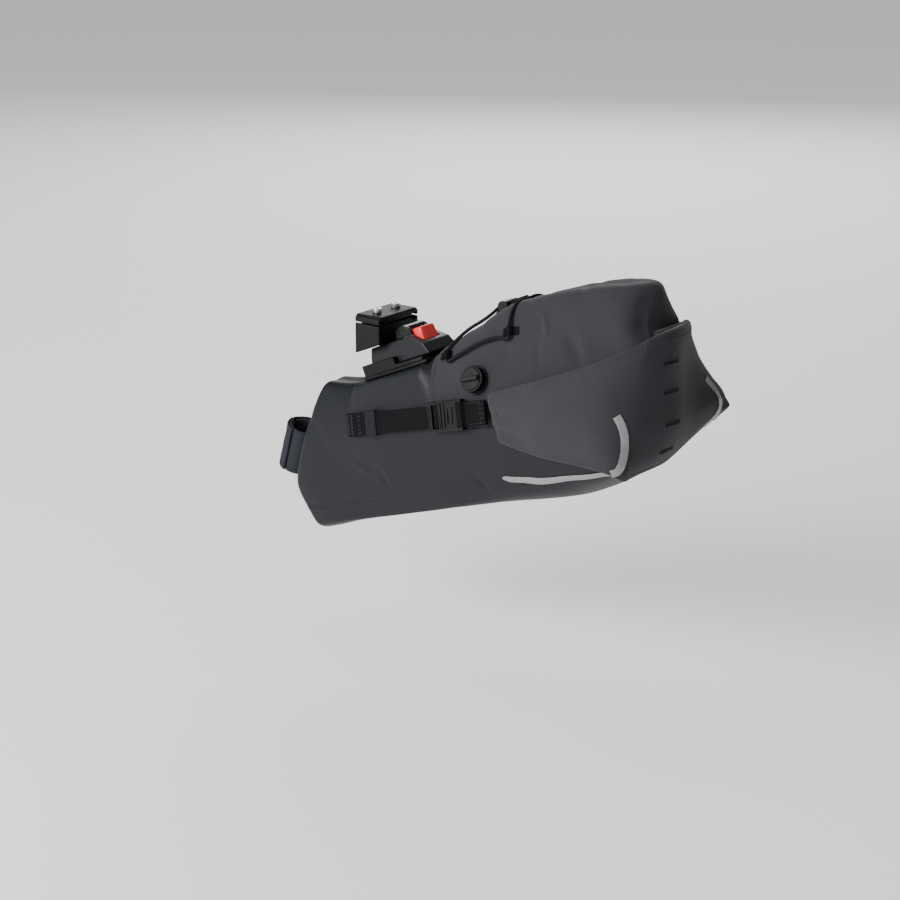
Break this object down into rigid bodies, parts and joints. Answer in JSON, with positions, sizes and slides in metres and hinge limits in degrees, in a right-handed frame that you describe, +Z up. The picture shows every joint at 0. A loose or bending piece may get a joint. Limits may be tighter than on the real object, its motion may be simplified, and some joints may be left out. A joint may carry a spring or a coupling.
{
  "type": "saddle bag",
  "caption": "Tapered roll-closure saddle bag with a quick-release rail adapter, seatpost strap, side buckles, air valve, elastic cord and a reflective rear panel.",
  "frame": {"origin": "on the seatpost axis at the middle of the post strap", "axes": "+X to the rear of the bicycle, +Y to its right, +Z up"},
  "size_m": [0.4428, 0.1524, 0.2849],
  "materials": {
    "coated_fabric": "smooth coated cloth, satin",
    "woven_fabric": "woven cloth, matt",
    "panel_fabric": "coarse woven cloth, matt",
    "webbing": "ribbed webbing, matt",
    "elastic_cord": "braided cover, matt",
    "pads": "matt foam rubber",
    "reflective": "retroreflective tape",
    "adapter_plastic": "moulded, fine texture",
    "black_plastic": "moulded, satin to gloss",
    "red_plastic": "moulded, satin",
    "steel": "zinc plated",
    "brass": "plain",
    "boards": "sheet plastic, matt"
  },
  "bodies": {
    "bag": {"front_shell": "coated_fabric", "upper_shell": "woven_fabric", "lower_shell": "coated_fabric", "nose_board": "boards", "floor_board": "boards", "roll_closure": "woven_fabric", "closure_stiffener": "boards", "rear_panel": "panel_fabric", "wing_left": "panel_fabric", "wing_right": "panel_fabric", "reflector_left": "reflective", "reflector_right": "reflective", "base_plate": "adapter_plastic", "release_housing": "adapter_plastic", "button_spring": "steel", "latch_leaf": "black_plastic", "latch_hood": "black_plastic", "backing_plate": "boards", "adapter_screws": "steel", "adapter_inserts": "brass", "strap_anchor": "coated_fabric", "post_pad": "pads", "post_band": "coated_fabric", "side_strap_left": "webbing", "side_strap_right": "webbing", "bartack_left": "webbing", "bartack_right": "webbing", "keeper_left": "webbing", "keeper_right": "webbing", "buckle_female_left": "black_plastic", "buckle_female_right": "black_plastic", "wing_tab_left": "webbing", "wing_tab_right": "webbing", "valve_flange": "black_plastic", "valve_nut": "black_plastic", "valve_seal": "pads", "cord_anchors": "webbing", "bungee_cord": "elastic_cord", "cord_lock_body": "black_plastic", "cord_lock_spring": "steel"},
    "rail_mount": {"rail_bracket": "black_plastic", "rail_cap": "black_plastic", "rail_bolts": "steel", "rail_nuts": "steel"},
    "release_button": {"release_button": "red_plastic"},
    "far_strap": {"far_pad": "pads", "far_band": "coated_fabric"},
    "strap_tip": {"band_tip": "coated_fabric", "hook_patch": "webbing"},
    "buckle_left": {"buckle_male_left": "black_plastic"},
    "buckle_right": {"buckle_male_right": "black_plastic"},
    "prong_top_left": {"prong_top_left": "black_plastic"},
    "prong_low_left": {"prong_low_left": "black_plastic"},
    "prong_top_right": {"prong_top_right": "black_plastic"},
    "prong_low_right": {"prong_low_right": "black_plastic"},
    "valve_knob": {"valve_knob": "black_plastic"},
    "lock_plunger": {"cord_lock_plunger": "black_plastic"}
  },
  "joints": [
    {"name": "rail_mount_slide", "type": "slide", "parent": "bag", "child": "rail_mount", "axis": [-0.9205, 0, -0.3907], "range_m": [0, 0.05], "deforming": ["latch_leaf"]},
    {"name": "button_press", "type": "slide", "parent": "bag", "child": "release_button", "axis": [0.3907, 0, -0.9205], "range_m": [0, 0.0035], "stiffness_N_per_m": 400, "deforming": ["button_spring", "latch_leaf"]},
    {"name": "strap_peel", "type": "hinge", "parent": "far_strap", "child": "strap_tip", "pos_m": [-0.01825, -0.00086, 0.0052], "axis": [-0.274, 0, -0.9617], "range_deg": [0, 110]},
    {"name": "strap_open", "type": "hinge", "parent": "bag", "child": "far_strap", "pos_m": [0.01566, 0.0094, -0.00446], "axis": [-0.274, 0, -0.9617], "range_deg": [0, 55]},
    {"name": "buckle_left_slide", "type": "slide", "parent": "bag", "child": "buckle_left", "axis": [-0.9568, 0.0958, -0.2744], "range_m": [0, 0.022], "deforming": ["side_strap_left", "prong_top_left", "prong_low_left"]},
    {"name": "prong_top_left_flex", "type": "hinge", "parent": "buckle_left", "child": "prong_top_left", "pos_m": [0.21161, -0.0532, 0.09121], "axis": [0.1386, 0.9803, -0.1409], "range_deg": [0, 8], "stiffness_Nm_per_rad": 0.05},
    {"name": "prong_low_left_flex", "type": "hinge", "parent": "buckle_left", "child": "prong_low_left", "pos_m": [0.21575, -0.056, 0.0758], "axis": [-0.1386, -0.9803, 0.1409], "range_deg": [0, 8], "stiffness_Nm_per_rad": 0.05},
    {"name": "buckle_right_slide", "type": "slide", "parent": "bag", "child": "buckle_right", "axis": [-0.9568, -0.0958, -0.2744], "range_m": [0, 0.022], "deforming": ["side_strap_right", "prong_top_right", "prong_low_right"]},
    {"name": "prong_top_right_flex", "type": "hinge", "parent": "buckle_right", "child": "prong_top_right", "pos_m": [0.21161, 0.0532, 0.09121], "axis": [-0.1386, 0.9803, 0.1409], "range_deg": [0, 8], "stiffness_Nm_per_rad": 0.05},
    {"name": "prong_low_right_flex", "type": "hinge", "parent": "buckle_right", "child": "prong_low_right", "pos_m": [0.21575, 0.056, 0.0758], "axis": [0.1386, -0.9803, -0.1409], "range_deg": [0, 8], "stiffness_Nm_per_rad": 0.05},
    {"name": "valve_turn", "type": "hinge", "parent": "bag", "child": "valve_knob", "pos_m": [0.24274, -0.0436, 0.1185], "axis": [-0.0313, -0.9374, 0.3468], "range_deg": [0, 90]},
    {"name": "lock_press", "type": "slide", "parent": "bag", "child": "lock_plunger", "axis": [0, -1, 0], "range_m": [0, 0.0035], "stiffness_N_per_m": 200, "deforming": ["cord_lock_spring"]}
  ],
  "couplings": [
    {"joint": "strap_open", "follows": "strap_peel", "ratio": 0.5},
    {"joint": "prong_low_left_flex", "follows": "prong_top_left_flex", "ratio": 1},
    {"joint": "prong_low_right_flex", "follows": "prong_top_right_flex", "ratio": 1}
  ]
}
